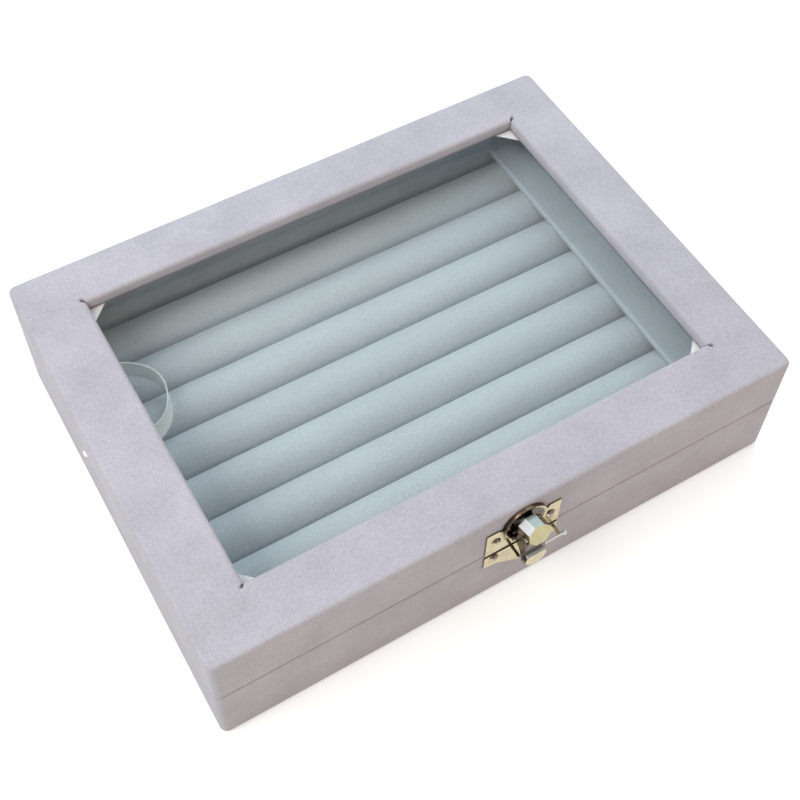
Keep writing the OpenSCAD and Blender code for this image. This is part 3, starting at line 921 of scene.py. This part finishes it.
def make_world():
    """White where it is seen or mirrored, and a dimmer light on everything else."""
    world = bpy.data.worlds.new("studio")
    bpy.context.scene.world = world
    world.use_nodes = True
    nodes = world.node_tree.nodes
    links = world.node_tree.links
    background = nodes["Background"]
    background.inputs["Color"].default_value = (0.985, 0.98, 0.97, 1)
    background.inputs["Strength"].default_value = WORLD_STRENGTH
    white = nodes.new("ShaderNodeBackground")
    white.inputs["Color"].default_value = (1, 1, 1, 1)
    white.inputs["Strength"].default_value = 1.0
    path = nodes.new("ShaderNodeLightPath")
    blend = nodes.new("ShaderNodeMixShader")
    shown = maximum_node(nodes, links, path.outputs["Is Camera Ray"], path.outputs["Is Transmission Ray"])
    seen = maximum_node(nodes, links, shown, path.outputs["Is Glossy Ray"])
    links.new(seen, blend.inputs[0])
    links.new(background.outputs[0], blend.inputs[1])
    links.new(white.outputs[0], blend.inputs[2])
    links.new(blend.outputs[0], nodes["World Output"].inputs["Surface"])


def area_light(name, place, target, size, energy, colour):
    data = bpy.data.lights.new(name, "AREA")
    data.shape = "RECTANGLE"
    data.size, data.size_y = size
    data.energy = energy
    data.color = colour
    lamp = bpy.data.objects.new(name, data)
    bpy.context.collection.objects.link(lamp)
    lamp.location = place
    lamp.rotation_euler = (Vector(target) - Vector(place)).to_track_quat("-Z", "Y").to_euler()
    return lamp


def make_lights():
    """A cool lamp above, a warm one on the left and an amber one low in front on the right."""
    aim = (0, 0, 0.03)
    key = area_light("overhead_softbox", (0.20, 0.30, 0.60), aim, (0.6, 0.6), 2.7, (0.76, 0.88, 1.0))
    key.visible_glossy = False
    area_light("left_softbox", (-0.66, 0.0, 0.70), aim, (0.6, 0.6), 5.6, (0.97, 0.95, 0.88))
    area_light("front_fill", (0.70, -1.0, 0.30), aim, (0.8, 0.5), 3.4, (1.0, 0.63, 0.28))


def make_flag():
    """The dark side of the studio, in front of the box, which only polished metal mirrors."""
    place = (0.1, -0.9, 0.62)
    upright = (math.radians(90), 0, 0)
    bpy.ops.mesh.primitive_plane_add(size=1.0, location=place, rotation=upright)
    flag = bpy.context.object
    flag.name = "dark_flag"
    flag.scale = (1.6, 0.9, 1.0)
    flag.data.materials.append(paper_material("black_cloth", (0.03, 0.026, 0.022)))
    flag.visible_camera = False
    flag.visible_diffuse = False
    flag.visible_transmission = False
    flag.visible_shadow = False


def make_camera():
    data = bpy.data.cameras.new("photo_camera")
    data.sensor_width = SENSOR_WIDTH
    data.lens = FOCAL_PIXELS * SENSOR_WIDTH / PHOTO_SIDE
    data.shift_y = -OPTICAL_AXIS_ABOVE_CENTRE / PHOTO_SIDE
    camera = bpy.data.objects.new("photo_camera", data)
    bpy.context.collection.objects.link(camera)
    azimuth, elevation = math.radians(CAMERA_AZIMUTH), math.radians(CAMERA_ELEVATION)
    back = Vector((
        math.sin(azimuth) * math.cos(elevation),
        -math.cos(azimuth) * math.cos(elevation),
        math.sin(elevation),
    ))
    turn = (-back).to_track_quat("-Z", "Y").to_matrix() @ Matrix.Rotation(math.radians(CAMERA_ROLL), 3, "Z")
    camera.matrix_world = Matrix.Translation(CAMERA_PLACE) @ turn.to_4x4()
    bpy.context.scene.camera = camera


make_camera()
make_floor()
make_world()
make_lights()
make_flag()
paint_solids()
soften_edges(0.12 * MM, "latch_plate", "strike_plate")
# The lever's rounded edges take its first material, the painted dark plating: painted dark reflection along
# its edges.
soften_edges(0.28 * MM, "latch_lever", edge_material=0)
soften_edges(0.25 * MM, "latch_nails", "strike_nails", "hinge_base_nails", "hinge_lid_nails")
soften_edges(0.15 * MM, "hinge_base_leaf_left", "hinge_base_leaf_right")
soften_edges(0.15 * MM, "hinge_lid_leaf_left", "hinge_lid_leaf_right")
lid_covering()
base_covering()
for roll in range(1, ROLL_COUNT + 1):
    ring_roll(roll)
side_strip("left")
side_strip("right")
lining_band("base_lining", "base")
lining_band("lid_lining", "lid")
bottom_paper()
ribbon()
ribbon_end()

bpy.context.scene.view_settings.view_transform = "Standard"
